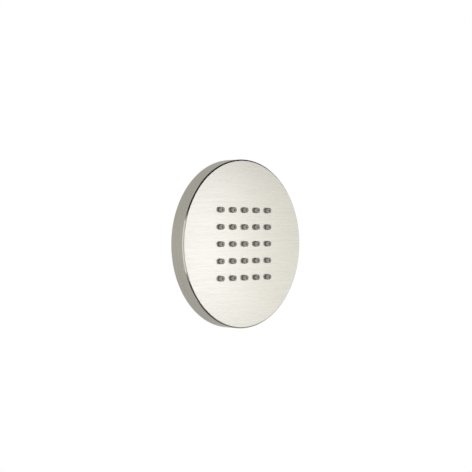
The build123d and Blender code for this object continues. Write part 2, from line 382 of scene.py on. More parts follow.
class Finish(ABC):
    """A surface finish that builds its own material."""

    metallic: ClassVar[float] = 0.0

    @abstractmethod
    def pattern(self, graph: SurfaceGraph) -> None:
        """Feeds the finish's patterns to a surface.

        Args:
            graph: The surface's node tree.
        """

    def material(self, name: str) -> bpy.types.Material:
        """Builds the material.

        Args:
            name: The material's name.

        Returns:
            The material.
        """
        graph = SurfaceGraph(name, self.metallic)
        self.pattern(graph)
        return graph.material


@dataclass(frozen=True)
class BrushedNickel(Finish):
    """Satin nickel, brushed straight across the flat face and round the side wall, with a polished edge."""

    metallic: ClassVar[float] = 1.0
    face_plane: float
    face_radius: float
    edge_round: float
    edge_blend: float = 0.1 * MM
    edge_roughness: float = 0.1
    colour: Colour = (0.675, 0.652, 0.565)
    contrast: float = 0.05
    roughness: float = 0.27
    roughness_spread: float = 0.02
    anisotropy: float = 0.55
    fine_line: Span = (0.3 * MM, 24.0 * MM)
    broad_line: Span = (0.9 * MM, 30.0 * MM)
    cloud: float = 16.0 * MM
    relief: float = 0.0003 * MM
    relief_strength: float = 0.5

    def pattern(self, graph: SurfaceGraph) -> None:
        """Feeds the brushing to a surface.

        Args:
            graph: The surface's node tree.
        """
        wall = self.face_plane + self.edge_round
        side = graph.span(graph.axes["Y"], (wall - self.edge_blend, 0.0), (wall, 1.0))
        front = graph.math("SUBTRACT", 1.0, side)
        flat = self.face_radius - self.edge_round
        rounding = graph.span(graph.reach(), (flat, 0.0), (flat + self.edge_blend, 1.0))
        edge = graph.math("MULTIPLY", front, rounding)
        fine, broad = (
            graph.pick(side, graph.lines(Lay.STRAIGHT, *size), graph.lines(Lay.TURNED, *size))
            for size in (self.fine_line, self.broad_line)
        )
        strokes = graph.pick(graph.noise(graph.place, self.cloud), fine, broad)
        graph.paint(graph.spread(strokes), self.colour, self.contrast)
        limits = (self.roughness - self.roughness_spread, self.roughness + self.roughness_spread)
        graph.feed("Roughness", graph.pick(edge, graph.spread(fine, limits), self.edge_roughness))
        graph.lean(self.anisotropy, y=side, z=front)
        brushed = graph.math("MULTIPLY", fine, graph.math("SUBTRACT", 1.0, edge))
        graph.bump(brushed, self.relief, self.relief_strength)


@dataclass(frozen=True)
class TurnedMetal(Finish):
    """Metal from the lathe, with fine tool lines round the axis."""

    metallic: ClassVar[float] = 1.0
    colour: Colour
    roughness: float
    contrast: float = 0.06
    roughness_shares: Span = (0.8, 1.25)
    anisotropy: float = 0.45
    anisotropy_turn: float = 0.25
    line: Span = (0.2 * MM, 14.0 * MM)
    blotch: float = 9.0 * MM
    tone_stretch: Span = (0.35, 0.65)
    relief: float = 0.002 * MM
    relief_strength: float = 0.4

    def pattern(self, graph: SurfaceGraph) -> None:
        """Feeds the tool lines to a surface.

        Args:
            graph: The surface's node tree.
        """
        lines = graph.lines(Lay.TURNED, *self.line)
        mixed = graph.pick(graph.noise(graph.place, self.blotch), lines, NOISE_MIDDLE)
        graph.paint(graph.spread(mixed, stretch=self.tone_stretch), self.colour, self.contrast)
        graph.roughen(lines, self.roughness, self.roughness_shares)
        graph.lean(self.anisotropy, x=graph.axes["Z"], z=graph.math("MULTIPLY", graph.axes["X"], -1.0))
        graph.set("Anisotropic Rotation", self.anisotropy_turn)
        graph.bump(lines, self.relief, self.relief_strength)


@dataclass(frozen=True)
class DrawnSteel(Finish):
    """Plain stainless steel with a faint grain."""

    metallic: ClassVar[float] = 1.0
    colour: Colour
    roughness: float
    contrast: float = 0.1
    roughness_shares: Span = (0.8, 1.2)
    grain: float = 0.25 * MM
    grain_detail: float = 3.0
    relief: float = 0.004 * MM
    relief_strength: float = 0.3

    def pattern(self, graph: SurfaceGraph) -> None:
        """Feeds the grain to a surface.

        Args:
            graph: The surface's node tree.
        """
        grain = graph.noise(graph.place, self.grain, self.grain_detail)
        graph.paint(graph.spread(grain), self.colour, self.contrast)
        graph.roughen(grain, self.roughness, self.roughness_shares)
        graph.bump(grain, self.relief, self.relief_strength)


@dataclass(frozen=True)
class Moulding(Finish):
    """A moulded rubber or plastic, with a fine grain and soft clouds of tone.

    Where a foot is given, along Y, the colour darkens towards it: painted shade, standing in for the shade
    at the foot of what stands out of a hole.
    """

    colour: Colour
    roughness: float
    contrast: float = 0.12
    roughness_shares: Span = (0.85, 1.15)
    gloss: float = 0.4
    grain: float = 0.12 * MM
    grain_detail: float = 3.0
    cloud: float = 2.2 * MM
    tone_stretch: Span = (0.6, 1.4)
    relief: float = 0.006 * MM
    relief_strength: float = 0.4
    # Painted shade at the foot: where it lies along Y, how far it reaches and how far it darkens towards
    # black
    foot: float | None = None
    painted_shade_reach: float = 0.8 * MM
    painted_foot_shade: float = 0.85

    def pattern(self, graph: SurfaceGraph) -> None:
        """Feeds the grain, the clouds and any painted shade at the foot to a surface.

        Args:
            graph: The surface's node tree.
        """
        grain = graph.noise(graph.place, self.grain, self.grain_detail)
        mixed = graph.math("ADD", grain, graph.noise(graph.place, self.cloud))
        shade = None
        # Painted shade: the colour darkens towards the foot, where shade falls at the root of each nozzle
        if self.foot is not None:
            start = (self.foot - self.painted_shade_reach, 0.0)
            shade = graph.span(graph.axes["Y"], start, (self.foot, self.painted_foot_shade))
        graph.paint(graph.spread(mixed, stretch=self.tone_stretch), self.colour, self.contrast, shade)
        graph.roughen(grain, self.roughness, self.roughness_shares)
        graph.set("Specular IOR Level", self.gloss)
        graph.bump(grain, self.relief, self.relief_strength)


# Mesh forms


def step_along(span: Span, step: int, steps: int) -> float:
    """The number that lies some of a count of equal steps along a span."""
    return span[0] + (span[1] - span[0]) * step / steps


@dataclass(frozen=True)
class Ring:
    """One ring of a lofted form, a circle or a polygon, square to the form's axis."""

    radius: float
    station: float
    flats: int = 0

    def points(self, steps: int) -> list[Vector]:
        """Points round the ring.

        Args:
            steps: How many points.

        Returns:
            The points, in order round the axis.
        """
        points = []
        for step in range(steps):
            angle = math.tau * step / steps
            radius = self.radius
            if self.flats:
                half = math.pi / self.flats
                radius /= math.cos((angle + half) % (2.0 * half) - half)
            points.append(Vector((radius * math.cos(angle), -self.station, radius * math.sin(angle))))
        return points


def corner_rings(radius: float, station: float, curve: float, sweep: Span, count: int = 6) -> list[Ring]:
    """Rings that round a corner.

    Args:
        radius: The distance from the axis to the middle of the corner's arc.
        station: The station of that middle.
        curve: The arc's radius.
        sweep: The arc's first and last angle in degrees, from straight out towards forward.
        count: How many rings.

    Returns:
        The rings along the arc.
    """
    rings = []
    for step in range(count):
        angle = math.radians(step_along(sweep, step, count - 1))
        rings.append(Ring(radius + curve * math.cos(angle), station + curve * math.sin(angle)))
    return rings


def bridge(form: bmesh.types.BMesh, rows: Sequence[Sequence[bmesh.types.BMVert]], closed: bool) -> None:
    """Fills the strips between rows of points with four-sided faces.

    Args:
        form: The form that the points belong to.
        rows: The rows, with as many points each.
        closed: Whether each row runs round to its own start.
    """
    for first, second in zip(rows, rows[1:]):
        count = len(first)
        for step in range(count if closed else count - 1):
            after = (step + 1) % count
            form.faces.new((first[step], first[after], second[after], second[step]))


def settled(name: str, form: bmesh.types.BMesh) -> bpy.types.Mesh:
    """Turns a form under construction into a mesh.

    Args:
        name: The mesh's name.
        form: The form, which is freed.

    Returns:
        The mesh.
    """
    mesh = bpy.data.meshes.new(name)
    form.to_mesh(mesh)
    form.free()
    return mesh


def skin(name: str, loops: Sequence[Sequence[Vector]]) -> bpy.types.Mesh:
    """Skins a row of loops into a closed form, with a flat cap at each end.

    Args:
        name: The mesh's name.
        loops: The loops, from one end to the other, with as many points each.

    Returns:
        The mesh, with its faces outwards.
    """
    form = bmesh.new()
    rows = [[form.verts.new(point) for point in loop] for loop in loops]
    bridge(form, rows, closed=True)
    for row in (rows[0], rows[-1]):
        form.faces.new(row)
    bmesh.ops.recalc_face_normals(form, faces=form.faces)
    return settled(name, form)


def loft(name: str, rings: Sequence[Ring], steps: int) -> bpy.types.Mesh:
    """Skins a row of rings round one axis, each with a number of points."""
    return skin(name, [ring.points(steps) for ring in rings])


def rounded_slab(name: str, side: float, corner: float, stations: Span, steps: int = 8) -> bpy.types.Mesh:
    """A square slab with rounded corners.

    Args:
        name: The mesh's name.
        side: The slab's width and height.
        corner: The corners' radius.
        stations: Its rear and front.
        steps: How many points round each corner.

    Returns:
        The mesh, with its faces outwards.
    """
    inset = side / 2.0 - corner
    outline = []
    for quarter, (x, z) in enumerate(((1, 1), (-1, 1), (-1, -1), (1, -1))):
        for step in range(steps):
            angle = QUARTER_TURN * (quarter + step / (steps - 1))
            outline.append((x * inset + corner * math.cos(angle), z * inset + corner * math.sin(angle)))
    return skin(name, [[Vector((x, -station, z)) for x, z in outline] for station in stations])


def placed(name: str, data: bpy.types.ID) -> bpy.types.Object:
    """Puts a mesh, a lamp or a camera in the scene.

    Args:
        name: The object's name.
        data: The mesh, lamp or camera.

    Returns:
        The object, at the origin.
    """
    thing = bpy.data.objects.new(name, data)
    bpy.context.scene.collection.objects.link(thing)
    return thing


# Patterns of repeated forms


class PatternTree(NodeGraph):
    """A Geometry Nodes tree with named inputs, run once on a host mesh to give a plain mesh."""

    def __init__(self, name: str, inputs: Mapping[str, InputKind]) -> None:
        """Starts a tree.

        Args:
            name: The tree's name.
            inputs: The kind of each named input, beside the host's geometry and the finish.
        """
        super().__init__(bpy.data.node_groups.new(name, "GeometryNodeTree"))
        face = self.tree.interface
        face.new_socket("Geometry", in_out="OUTPUT", socket_type="NodeSocketGeometry")
        face.new_socket("Geometry", in_out="INPUT", socket_type="NodeSocketGeometry")
        self.identifiers: dict[str, str] = {}
        for label, kind in {**inputs, "Finish": InputKind.MATERIAL}.items():
            socket = face.new_socket(label, in_out="INPUT", socket_type=kind.value)
            self.identifiers[label] = socket.identifier
        self.given = self.add("NodeGroupInput").outputs

    def turned(self, geometry: Socket, turn: Value, move: Value = (0.0, 0.0, 0.0)) -> Socket:
        """Turns geometry and then moves it.

        Args:
            geometry: The geometry.
            turn: The angles about X, Y and Z.
            move: How far it goes.

        Returns:
            The moved geometry.
        """
        values = {"Geometry": geometry, "Rotation": turn, "Translation": move}
        return self.add("GeometryNodeTransform", values).outputs[0]

    def copies(self, points: Socket, shape: Socket, **values: Value) -> Socket:
        """Puts a copy of a shape on every point.

        Args:
            points: The points.
            shape: The shape.
            values: How the copies are turned and scaled.

        Returns:
            The copies, as real geometry.
        """
        values = {"Points": points, "Instance": shape, **values}
        copies = self.add("GeometryNodeInstanceOnPoints", values).outputs[0]
        return self.add("GeometryNodeRealizeInstances", {"Geometry": copies}).outputs[0]

    def grid(self, per_side: Socket, pitch: Socket) -> Socket:
        """A square of points across the jet's axis.

        Args:
            per_side: How many points each way.
            pitch: How far apart they are.

        Returns:
            The points.
        """
        side = self.math("MULTIPLY", pitch, self.math("SUBTRACT", per_side, 1.0))
        values = {"Size X": side, "Size Y": side, "Vertices X": per_side, "Vertices Y": per_side}
        flat = self.add("GeometryNodeMeshGrid", values).outputs["Mesh"]
        return self.turned(flat, (QUARTER_TURN, 0.0, 0.0))

    def circle(self, count: Socket, radius: Socket) -> Socket:
        """A ring of points round the jet's axis, by their number and its radius."""
        flat = self.add("GeometryNodeMeshCircle", {"Vertices": count, "Radius": radius}).outputs["Mesh"]
        return self.turned(flat, (QUARTER_TURN, 0.0, 0.0))

    def shape(self, label: str) -> Socket:
        """The geometry of an object input."""
        return self.add("GeometryNodeObjectInfo", {"Object": self.given[label]}).outputs["Geometry"]

    def fused(self, *solids: Socket) -> Socket:
        """Joins solids into one."""
        settings = {"operation": "UNION", "solver": "EXACT"}
        return self.add("GeometryNodeMeshBoolean", {"Mesh 2": list(solids)}, **settings).outputs["Mesh"]

    def cut(self, solid: Socket, *tools: Socket) -> Socket:
        """Cuts solids out of another.

        Args:
            solid: The solid that is cut.
            tools: What is cut out of it.

        Returns:
            What is left.
        """
        values = {"Mesh 1": solid, "Mesh 2": list(tools)}
        settings = {"operation": "DIFFERENCE", "solver": "EXACT"}
        return self.add("GeometryNodeMeshBoolean", values, **settings).outputs["Mesh"]

    def finish(self, geometry: Value) -> None:
        """Ends the tree: what it made is joined and welded, instances are realized and the finish is put on.

        Args:
            geometry: What the tree made, one socket or a list.
        """
        whole = self.add("GeometryNodeJoinGeometry", {"Geometry": geometry}).outputs[0]
        welded = self.add("GeometryNodeMergeByDistance", {"Geometry": whole, "Distance": WELD}).outputs[0]
        plain = self.add("GeometryNodeRealizeInstances", {"Geometry": welded}).outputs[0]
        values = {"Geometry": plain, "Material": self.given["Finish"]}
        dressed = self.add("GeometryNodeSetMaterial", values).outputs[0]
        self.add("NodeGroupOutput", {"Geometry": dressed})

    def run(
        self,
        name: str,
        host: bpy.types.Mesh,
        values: Mapping[str, Value],
        crease: float,
        shapes: Mapping[str, bpy.types.Mesh] | None = None,
    ) -> bpy.types.Object:
        """Runs the tree on a host mesh.

        Args:
            name: The piece's name.
            host: The mesh that the tree starts from.
            values: What goes into the named inputs.
            crease: The angle in degrees past which an edge is sharp.
            shapes: The meshes that go into the object inputs, where the tree has any.

        Returns:
            The piece, a plain mesh at the origin.
        """
        carrier = placed(name + "_host", host)
        helpers = {label: placed(label.lower(), mesh) for label, mesh in (shapes or {}).items()}
        modifier = carrier.modifiers.new(name, "NODES")
        modifier.node_group = self.tree
        for label, value in {**values, **helpers}.items():
            modifier[self.identifiers[label]] = value
        graph = bpy.context.evaluated_depsgraph_get()
        mesh = bpy.data.meshes.new_from_object(carrier.evaluated_get(graph), depsgraph=graph)
        carrier.modifiers.remove(modifier)
        for helper in (carrier, *helpers.values()):
            bpy.data.objects.remove(helper)
        mesh.name = name
        mesh.polygons.foreach_set("use_smooth", [True] * len(mesh.polygons))
        mesh.set_sharp_from_angle(angle=math.radians(crease))
        return placed(name, mesh)


@dataclass(frozen=True)
class NozzleLayout:
    """How the nozzles and their holes are set out: in a square across the jet's axis."""

    per_side: int = 5
    pitch: float = 10.0 * MM

    def values(self) -> dict[str, Value]:
        """What goes into a tree's inputs for the layout."""
        return {"Per Side": self.per_side, "Pitch": self.pitch}


@dataclass
class ScrewThread:
    """A ridge that winds round an axis as a right-hand screw thread.

    It stands on a wall of a given radius. Its root and crest widths are shares of the pitch, and over the
    runout, in turns, it shrinks towards each end to its least share.
    """

    side: ThreadSide
    wall: float
    depth: float
    pitch: float
    turns: float
    start: float
    root_share: float
    crest_share: float = 0.2
    runout: float = 0.25
    least: float = 0.05
    steps: int = 48
    crease: float = 30.0

    def tree(self) -> PatternTree:
        """Builds the tree that sweeps the ridge along its helix and joins it to the host.

        Returns:
            The tree.
        """
        sizes = ("Wall Radius", "Side", "Pitch", "Turns", "Depth", "Root Width", "Crest Width", "Start")
        kinds = {size: InputKind.NUMBER for size in (*sizes, "Runout", "Least")}
        tree = PatternTree("screw_thread", {**kinds, "Steps": InputKind.COUNT})
        given = tree.given
        values = {
            "Resolution": given["Steps"],
            "Rotations": given["Turns"],
            "Start Radius": given["Wall Radius"],
            "End Radius": given["Wall Radius"],
            "Height": tree.math("MULTIPLY", given["Pitch"], given["Turns"]),
        }
        helix = tree.add("GeometryNodeCurveSpiral", values).outputs["Curve"]
        upright = tree.add("GeometryNodeSetCurveNormal", {"Curve": helix}, mode="Z_UP").outputs[0]
        along = tree.add("GeometryNodeSplineParameter").outputs["Factor"]
        from_end = tree.math("MINIMUM", along, tree.math("SUBTRACT", 1.0, along))
        turns_from_end = tree.math("MULTIPLY", from_end, given["Turns"])
        taper = tree.math("MINIMUM", 1.0, tree.math("DIVIDE", turns_from_end, given["Runout"]))
        values = {
            "Height": given["Depth"],
            "Bottom Width": given["Root Width"],
            "Top Width": given["Crest Width"],
            "Offset": 0.0,
        }
        section = tree.add("GeometryNodeCurvePrimitiveQuadrilateral", values, mode="TRAPEZOID").outputs[0]
        lying = tree.vector(z=tree.math("MULTIPLY", given["Side"], QUARTER_TURN))
        half_depth = tree.math("MULTIPLY", given["Depth"], -0.5)
        standing = tree.vector(tree.math("MULTIPLY", given["Side"], half_depth))
        ridge = tree.turned(section, lying, standing)
        size = tree.math("MAXIMUM", given["Least"], taper)
        values = {"Curve": upright, "Profile Curve": ridge, "Scale": size, "Fill Caps": True}
        swept = tree.add("GeometryNodeCurveToMesh", values).outputs[0]
        forward = tree.vector(y=tree.math("MULTIPLY", given["Start"], -1.0))
        tree.finish([given["Geometry"], tree.turned(swept, (QUARTER_TURN, 0.0, 0.0), forward)])
        return tree

    def build(self, name: str, host: bpy.types.Mesh, finish: bpy.types.Material) -> bpy.types.Object:
        """Makes the ridge on a host mesh.

        Args:
            name: The piece's name.
            host: What carries the ridge, which may be an empty mesh.
            finish: Its material.

        Returns:
            The host with its ridge.
        """
        values = {
            "Wall Radius": self.wall,
            "Side": self.side.value,
            "Pitch": self.pitch,
            "Turns": self.turns,
            "Depth": self.depth,
            "Root Width": self.root_share * self.pitch,
            "Crest Width": self.crest_share * self.pitch,
            "Start": self.start,
            "Runout": self.runout,
            "Least": self.least,
            "Steps": self.steps,
            "Finish": finish,
        }
        return self.tree().run(name, host, values, self.crease)


# Sub-assemblies


def station_span(node: str) -> Span:
    """The rear and front stations of a CAD node."""
    low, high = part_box(node)
    return -high.y, -low.y


@dataclass
class SubAssembly(ABC):
    """A group of pieces that goes together on the bench."""

    nodes: Mapping[str, bpy.types.Object]
    finishes: Mapping[Slot, bpy.types.Material]

    @abstractmethod
    def build(self) -> None:
        """Makes the group's own pieces and dresses its CAD nodes."""

    def dress(self, slot: Slot, *names: str) -> None:
        """Gives CAD nodes their finish.

        Args:
            slot: The slot that holds the finish.
            names: The nodes.
        """
        for name in names:
            for place in self.nodes[name].material_slots:
                place.material = self.finishes[slot]
            LOG.info("%s: CAD mesh in %s", name, slot.value)

    def join_up(self, piece: bpy.types.Object, body: Body, slot: Slot, *replaced: str) -> None:
        """Tells the frame what a new piece is.

        Args:
            piece: The piece.
            body: The body that it moves with.
            slot: The slot that holds its finish; not used.
            replaced: The CAD nodes that it stands for.
        """
        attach(piece, body.value)
        if replaced:
            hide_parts(*replaced)
        LOG.info("%s: %d faces, on %s", piece.name, len(piece.data.polygons), body.value)


@dataclass
class NozzleField(SubAssembly):
    """The silicone moulding: a sheet behind the face, with soft nozzles that stand out through it."""

    layout: NozzleLayout = NozzleLayout()
    root_radius: float = 1.67 * MM
    draft: float = 2.0
    reach: float = 2.0 * MM
    tip_round: float = 0.2 * MM
    tip_wall: float = 0.9 * MM
    bore_radius: float = 1.15 * MM
    orifice_radius: float = 0.66 * MM
    lip: float = 0.1 * MM
    sheet: float = 1.2 * MM
    sheet_corner: float = 4.0 * MM
    overlap: float = 0.3 * MM
    steps: int = 36
    crease: float = 35.0

    def outside(self, rear: float, tip: float) -> bpy.types.Mesh:
        """One nozzle's outside, solid, from inside the sheet to a softened tip.

        Args:
            rear: The station of the sheet's back.
            tip: The station of the nozzle's tip.

        Returns:
            The mesh.
        """
        root = tip - self.reach
        slope = math.tan(math.radians(self.draft))
        round_station = tip - self.tip_round
        lean = self.tip_round / math.cos(math.radians(self.draft))
        round_radius = self.root_radius - (round_station - root) * slope - lean
        rings = [Ring(self.root_radius, rear + self.sheet - self.overlap), Ring(self.root_radius, root)]
        rings += corner_rings(round_radius, round_station, self.tip_round, (self.draft, STRAIGHT_FORWARD))
        return loft("nozzle_outside", rings, self.steps)

    def inside(self, rear: float, tip: float) -> bpy.types.Mesh:
        """One nozzle's waterway, solid, from behind the sheet out past the tip.

        Args:
            rear: The station of the sheet's back.
            tip: The station of the nozzle's tip.

        Returns:
            The mesh.
        """
        throat = tip - self.tip_wall
        mouth = self.orifice_radius + self.lip
        rings = [
            Ring(self.bore_radius, rear - self.overlap),
            Ring(self.bore_radius, throat - self.lip),
            Ring(self.orifice_radius, throat),
            Ring(self.orifice_radius, tip - self.lip),
            Ring(mouth, tip),
            Ring(mouth, tip + self.overlap),
        ]
        return loft("nozzle_inside", rings, self.steps)

    def tree(self) -> PatternTree:
        """Builds the tree that sets the nozzles out in a square and opens their waterways.

        Returns:
            The tree.
        """
        kinds = {
            "Nozzle": InputKind.OBJECT,
            "Waterway": InputKind.OBJECT,
            "Per Side": InputKind.COUNT,
            "Pitch": InputKind.NUMBER,
        }
        tree = PatternTree("nozzle_field", kinds)
        given = tree.given
        places = tree.grid(given["Per Side"], given["Pitch"])
        nozzles, waterways = (tree.copies(places, tree.shape(label)) for label in ("Nozzle", "Waterway"))
        tree.finish(tree.cut(tree.fused(given["Geometry"], nozzles), waterways))
        return tree

    def build(self) -> None:
        """Makes the moulding in place of the CAD mat."""
        rear, tip = station_span("nozzle_mat")
        low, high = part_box("nozzle_mat")
        host = rounded_slab("nozzle_sheet", high.x - low.x, self.sheet_corner, (rear, rear + self.sheet))
        shapes = {"Nozzle": self.outside(rear, tip), "Waterway": self.inside(rear, tip)}
        values = {**self.layout.values(), "Finish": self.finishes[Slot.GREY_SILICONE]}
        piece = self.tree().run("nozzle_field", host, values, self.crease, shapes)
        self.join_up(piece, Body.HEAD, Slot.GREY_SILICONE, "nozzle_mat")


@dataclass
class FaceCup(SubAssembly):
    """The brushed cup: a face with a hole for every nozzle, a side wall, and bosses for the back screws."""

    layout: NozzleLayout = NozzleLayout()
    face_wall: float = 1.5 * MM
    side_wall: float = 1.5 * MM
    edge_round: float = 0.85 * MM
    edge_border: float = 0.25 * MM
    rear_chamfer: float = 0.3 * MM
    hole_radius: float = 1.71 * MM
    hole_softening: float = 0.03 * MM
    boss_count: int = 6
    boss_circle: float = 44.4 * MM
    boss_radius: float = 3.0 * MM
    bore_radius: float = 1.6 * MM
    bore_depth: float = 3.7 * MM
    overlap: float = 0.3 * MM
    edge_rings: int = 12
    steps: int = 288
    hole_steps: int = 36
    crease: float = 30.0

    def shell(self, rear: float, front: float, radius: float) -> bpy.types.Mesh:
        """The bare cup, with a softened front edge and a chamfer behind.

        Args:
            rear: The station of the open end.
            front: The station of the face.
            radius: The cup's outer radius.

        Returns:
            The mesh.
        """
        inner = radius - self.side_wall
        flat = radius - self.edge_round
        shoulder = front - self.edge_round
        rings = [
            Ring(inner, front - self.face_wall),
            Ring(inner, rear),
            Ring(radius - self.rear_chamfer, rear),
            Ring(radius, rear + self.rear_chamfer),
            Ring(radius, shoulder - self.edge_border),
        ]
        sweep = (STRAIGHT_OUT, STRAIGHT_FORWARD)
        rings += corner_rings(flat, shoulder, self.edge_round, sweep, self.edge_rings)
        rings.append(Ring(flat - self.edge_border, front))
        return loft("cup_shell", rings, self.steps)

    def shapes(self, seat: float, front: float) -> dict[str, bpy.types.Mesh]:
        """The forms that repeat on the cup.

        Args:
            seat: The station where the bosses meet the back plate.
            front: The station of the face.

        Returns:
            One mesh for each of the tree's object inputs.
        """
        floor = front - self.face_wall
        mouth = self.hole_radius + self.hole_softening
        hole = [
            Ring(self.hole_radius, floor - self.overlap),
            Ring(self.hole_radius, front - self.hole_softening),
            Ring(mouth, front),
            Ring(mouth, front + self.overlap),
        ]
        boss = [Ring(self.boss_radius, seat), Ring(self.boss_radius, floor + self.overlap)]
        bore = [Ring(self.bore_radius, seat - self.overlap), Ring(self.bore_radius, seat + self.bore_depth)]
        rings = {"Hole": hole, "Boss": boss, "Bore": bore}
        return {label: loft(label.lower(), row, self.hole_steps) for label, row in rings.items()}

    def tree(self) -> PatternTree:
        """Builds the tree that adds the ring of bosses and opens their bores and the square of holes.

        Returns:
            The tree.
        """
        kinds = {
            "Hole": InputKind.OBJECT,
            "Boss": InputKind.OBJECT,
            "Bore": InputKind.OBJECT,
            "Per Side": InputKind.COUNT,
            "Pitch": InputKind.NUMBER,
            "Bosses": InputKind.COUNT,
            "Circle": InputKind.NUMBER,
        }
        tree = PatternTree("face_cup", kinds)
        given = tree.given
        ring = tree.circle(given["Bosses"], given["Circle"])
        holes = tree.copies(tree.grid(given["Per Side"], given["Pitch"]), tree.shape("Hole"))
        bosses, bores = (tree.copies(ring, tree.shape(label)) for label in ("Boss", "Bore"))
        tree.finish(tree.cut(tree.fused(given["Geometry"], bosses), holes, bores))
        return tree

    def build(self) -> None:
        """Makes the cup in place of the CAD one, with a finer edge."""
        rear, front = station_span("face_cover")
        values = {
            **self.layout.values(),
            "Bosses": self.boss_count,
            "Circle": self.boss_circle,
            "Finish": self.finishes[Slot.BRUSHED_NICKEL],
        }
        shell = self.shell(rear, front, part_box("face_cover")[1].x)
        shapes = self.shapes(station_span("back_plate")[1], front)
        piece = self.tree().run("face_cup", shell, values, self.crease, shapes)
        self.join_up(piece, Body.HEAD, Slot.BRUSHED_NICKEL, "face_cover")


@dataclass
class BackCover(SubAssembly):
    """The plate that closes the cup's back, and the ring of screws that holds it."""

    screw_count: int = 6
    head_radius: float = 2.8 * MM
    shank_radius: float = 1.5 * MM
    core_radius: float = 1.2 * MM
    thread_pitch: float = 0.5 * MM
    thread_margin: float = 0.5 * MM
    thread_root_share: float = 0.9
    thread_steps: int = 16
    socket_sides: int = 6
    socket_flats: float = 2.0 * MM
    socket_depth: float = 1.0 * MM
    drill_radius: float = 0.1 * MM
    drill_depth: float = 0.3 * MM
    softening: float = 0.12 * MM
    tip_taper: float = 0.4 * MM
    steps: int = 36
    crease: float = 30.0
    seed: int = 7

    def screw(self, rear: float, tip: float) -> bpy.types.Mesh:
        """One screw's body, round its own axis: socket, countersunk head and the core of its thread.

        Args:
            rear: The station of the head's face.
            tip: The station of the screw's end.

        Returns:
            The mesh.
        """
        soft = self.softening
        flat = self.socket_flats / 2.0
        neck = rear + self.head_radius - self.shank_radius
        rings = [
            Ring(self.drill_radius, rear + self.socket_depth + self.drill_depth),
            Ring(flat, rear + self.socket_depth, self.socket_sides),
            Ring(flat, rear + soft, self.socket_sides),
            Ring(flat + soft, rear, self.socket_sides),
            Ring(self.head_radius - 2.0 * soft, rear),
            Ring(self.head_radius - soft, rear + soft),
            Ring(self.shank_radius, neck),
            Ring(self.core_radius, neck + self.shank_radius - self.core_radius),
            Ring(self.core_radius, tip - self.tip_taper),
            Ring(self.core_radius - self.tip_taper, tip),
        ]
        return loft("screw_body", rings, self.steps)

    def tree(self) -> PatternTree:
        """Builds the tree that sets the screws out in a ring, each turned as it came to rest.

        Returns:
            The tree.
        """
        kinds = {"Count": InputKind.COUNT, "Circle": InputKind.NUMBER, "Seed": InputKind.COUNT}
        tree = PatternTree("screw_ring", kinds)
        given = tree.given
        places = tree.circle(given["Count"], given["Circle"])
        values = {RandomInput.LEAST: 0.0, RandomInput.GREATEST: math.tau, "Seed": given["Seed"]}
        turn = tree.add("FunctionNodeRandomValue", values, data_type="FLOAT").outputs[1]
        tree.finish(tree.copies(places, given["Geometry"], Rotation=tree.vector(y=turn)))
        return tree

    def build(self) -> None:
        """Makes the screws in place of the CAD ones, and dresses the back plate."""
        self.dress(Slot.SATIN_NICKEL, "back_plate")
        rear, tip = station_span("back_screws")
        start = rear + self.head_radius - self.shank_radius + self.thread_margin
        thread = ScrewThread(
            side=ThreadSide.OUTSIDE,
            wall=self.core_radius,
            depth=self.shank_radius - self.core_radius,
            pitch=self.thread_pitch,
            turns=(tip - self.thread_margin - start) / self.thread_pitch,
            start=start,
            root_share=self.thread_root_share,
            steps=self.thread_steps,
        )
        steel = self.finishes[Slot.STAINLESS]
        screw = thread.build("screw", self.screw(rear, tip), steel)
        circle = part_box("back_screws")[1].x - self.head_radius
        values = {"Count": self.screw_count, "Circle": circle, "Seed": self.seed, "Finish": steel}
        piece = self.tree().run("back_screw_ring", screw.data, values, self.crease)
        bpy.data.objects.remove(screw)
        self.join_up(piece, Body.HEAD, Slot.STAINLESS, "back_screws")


@dataclass
class WaterChamber(SubAssembly):
    """The tray that spreads water to the nozzles, and its gasket."""

    def build(self) -> None:
        """Dresses the chamber's CAD nodes."""
        self.dress(Slot.WHITE_ACETAL, "jet_plate")
        self.dress(Slot.BLACK_RUBBER, "chamber_gasket")


@dataclass
class SwivelJoint(SubAssembly):
    """The collar nut and the two seats that hold the ball."""

    def build(self) -> None:
        """Dresses the joint's CAD nodes."""
        self.dress(Slot.SATIN_NICKEL, "collar_nut")
        self.dress(Slot.WHITE_ACETAL, "friction_ring")
        self.dress(Slot.BLACK_RUBBER, "ball_seal")


